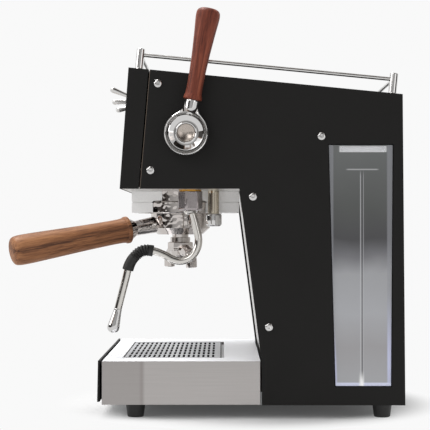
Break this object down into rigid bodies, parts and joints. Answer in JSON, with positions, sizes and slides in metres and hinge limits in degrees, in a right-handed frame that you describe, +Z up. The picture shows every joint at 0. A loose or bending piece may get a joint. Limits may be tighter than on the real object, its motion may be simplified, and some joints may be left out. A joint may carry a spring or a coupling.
{
  "type": "espresso machine",
  "caption": "Home espresso machine with a locking portafilter, lever-operated steam wand, drip tray and side-loading water tank.",
  "frame": {"origin": "on the counter plane, under the middle of the body, between the four feet", "axes": "+Z up, +Y to the back, +X to the user's right, where the steam wand is"},
  "size_m": [0.2964, 0.4069, 0.4103],
  "materials": {
    "panel_black": "fine-textured black powder coat",
    "brushed": "brushed stainless steel",
    "chrome": "polished chrome plate",
    "cast": "cast, lightly blasted",
    "brass": "turned brass",
    "rubber": "matt black rubber",
    "silicone": "translucent white silicone",
    "walnut": "oiled dark wood",
    "rosewood": "oiled reddish wood",
    "smoked": "smoked clear plastic",
    "plastic": "black moulded plastic",
    "inner_steel": "zinc-plated sheet",
    "board": "green circuit board",
    "lamp": "amber lamp lens"
  },
  "bodies": {
    "root": {"feet": "rubber", "base_pan": "inner_steel", "base_cover": "brushed", "side_panel_right": "panel_black", "side_panel_left": "panel_black", "panel_screws": "chrome", "front_panel": "panel_black", "top_plate": "panel_black", "rear_panel": "panel_black", "column_plate": "brushed", "head_floor": "brushed", "chassis_frame": "inner_steel", "gallery_posts": "chrome", "gallery_rails": "chrome", "group_head": "chrome", "group_gasket": "rubber", "shower_screen": "brushed", "screen_screw": "brass", "brew_thermoblock": "cast", "thermostat": "plastic", "solenoid_valve": "brass", "solenoid_coil": "plastic", "steam_thermoblock": "cast", "pump": "plastic", "pump_mounts": "rubber", "control_board": "board", "water_hoses": "silicone", "steam_pipe": "brushed", "steam_valve_body": "brass", "wand_nut": "chrome", "wand_washer": "brass", "hot_water_spout": "chrome", "hot_water_nozzle": "chrome", "toggle_bushings": "chrome", "toggle_switches": "plastic", "lamp_bezel": "chrome", "lamp_lens": "lamp", "tank_socket": "rubber", "tank_cradle": "plastic", "power_inlet": "plastic"},
    "drawer": {"drip_tray": "plastic", "drip_tray_front": "panel_black"},
    "grille": {"drip_grille": "brushed"},
    "tank": {"water_tank": "smoked", "tank_spigot": "plastic"},
    "portafilter_unit": {"portafilter": "chrome", "portafilter_handle": "walnut", "filter_basket": "brushed", "basket_spring": "brushed", "double_spout": "chrome"},
    "wand_swivel": {"wand_ball_seat": "plastic"},
    "steam_wand": {"wand_tube": "chrome", "wand_grip": "rubber", "steam_nozzle": "chrome"},
    "toggle_right": {"toggle_lever_right": "chrome"},
    "toggle_middle": {"toggle_lever_middle": "chrome"},
    "toggle_left": {"toggle_lever_left": "chrome"},
    "steam_lever": {"steam_lever_hub": "chrome", "steam_lever_handle": "rosewood", "steam_valve_stem": "brass"}
  },
  "joints": [
    {"name": "drawer_slide", "type": "slide", "parent": "root", "child": "drawer", "axis": [0, -1, 0], "range_m": [0, 0.14]},
    {"name": "grille_lift", "type": "slide", "parent": "root", "child": "grille", "axis": [0, 0, 1], "range_m": [0, 0.02]},
    {"name": "tank_slide", "type": "slide", "parent": "root", "child": "tank", "axis": [1, 0, 0], "range_m": [0, 0.15]},
    {"name": "portafilter_lock", "type": "hinge", "parent": "root", "child": "portafilter_unit", "pos_m": [0, -0.075, 0.2], "axis": [0, 0, 1], "range_deg": [-65, 0]},
    {"name": "steam_lever_turn", "type": "hinge", "parent": "root", "child": "steam_lever", "pos_m": [0.15, -0.0645, 0.2851], "axis": [1, 0, 0], "range_deg": [0, 100]},
    {"name": "wand_turn", "type": "hinge", "parent": "root", "child": "wand_swivel", "pos_m": [0.095, -0.0617, 0.2135], "axis": [0, 0, 1], "range_deg": [-15, 60]},
    {"name": "wand_tilt", "type": "hinge", "parent": "wand_swivel", "child": "steam_wand", "pos_m": [0.095, -0.0617, 0.2135], "axis": [0, -1, 0], "range_deg": [0, 20]},
    {"name": "toggle_right_tilt", "type": "hinge", "parent": "root", "child": "toggle_right", "pos_m": [0.045, -0.12428, 0.33], "axis": [1, 0, 0], "range_deg": [0, 36]},
    {"name": "toggle_middle_tilt", "type": "hinge", "parent": "root", "child": "toggle_middle", "pos_m": [0, -0.12428, 0.33], "axis": [1, 0, 0], "range_deg": [-22, 14]},
    {"name": "toggle_left_tilt", "type": "hinge", "parent": "root", "child": "toggle_left", "pos_m": [-0.045, -0.12428, 0.33], "axis": [1, 0, 0], "range_deg": [-34, 0]}
  ]
}
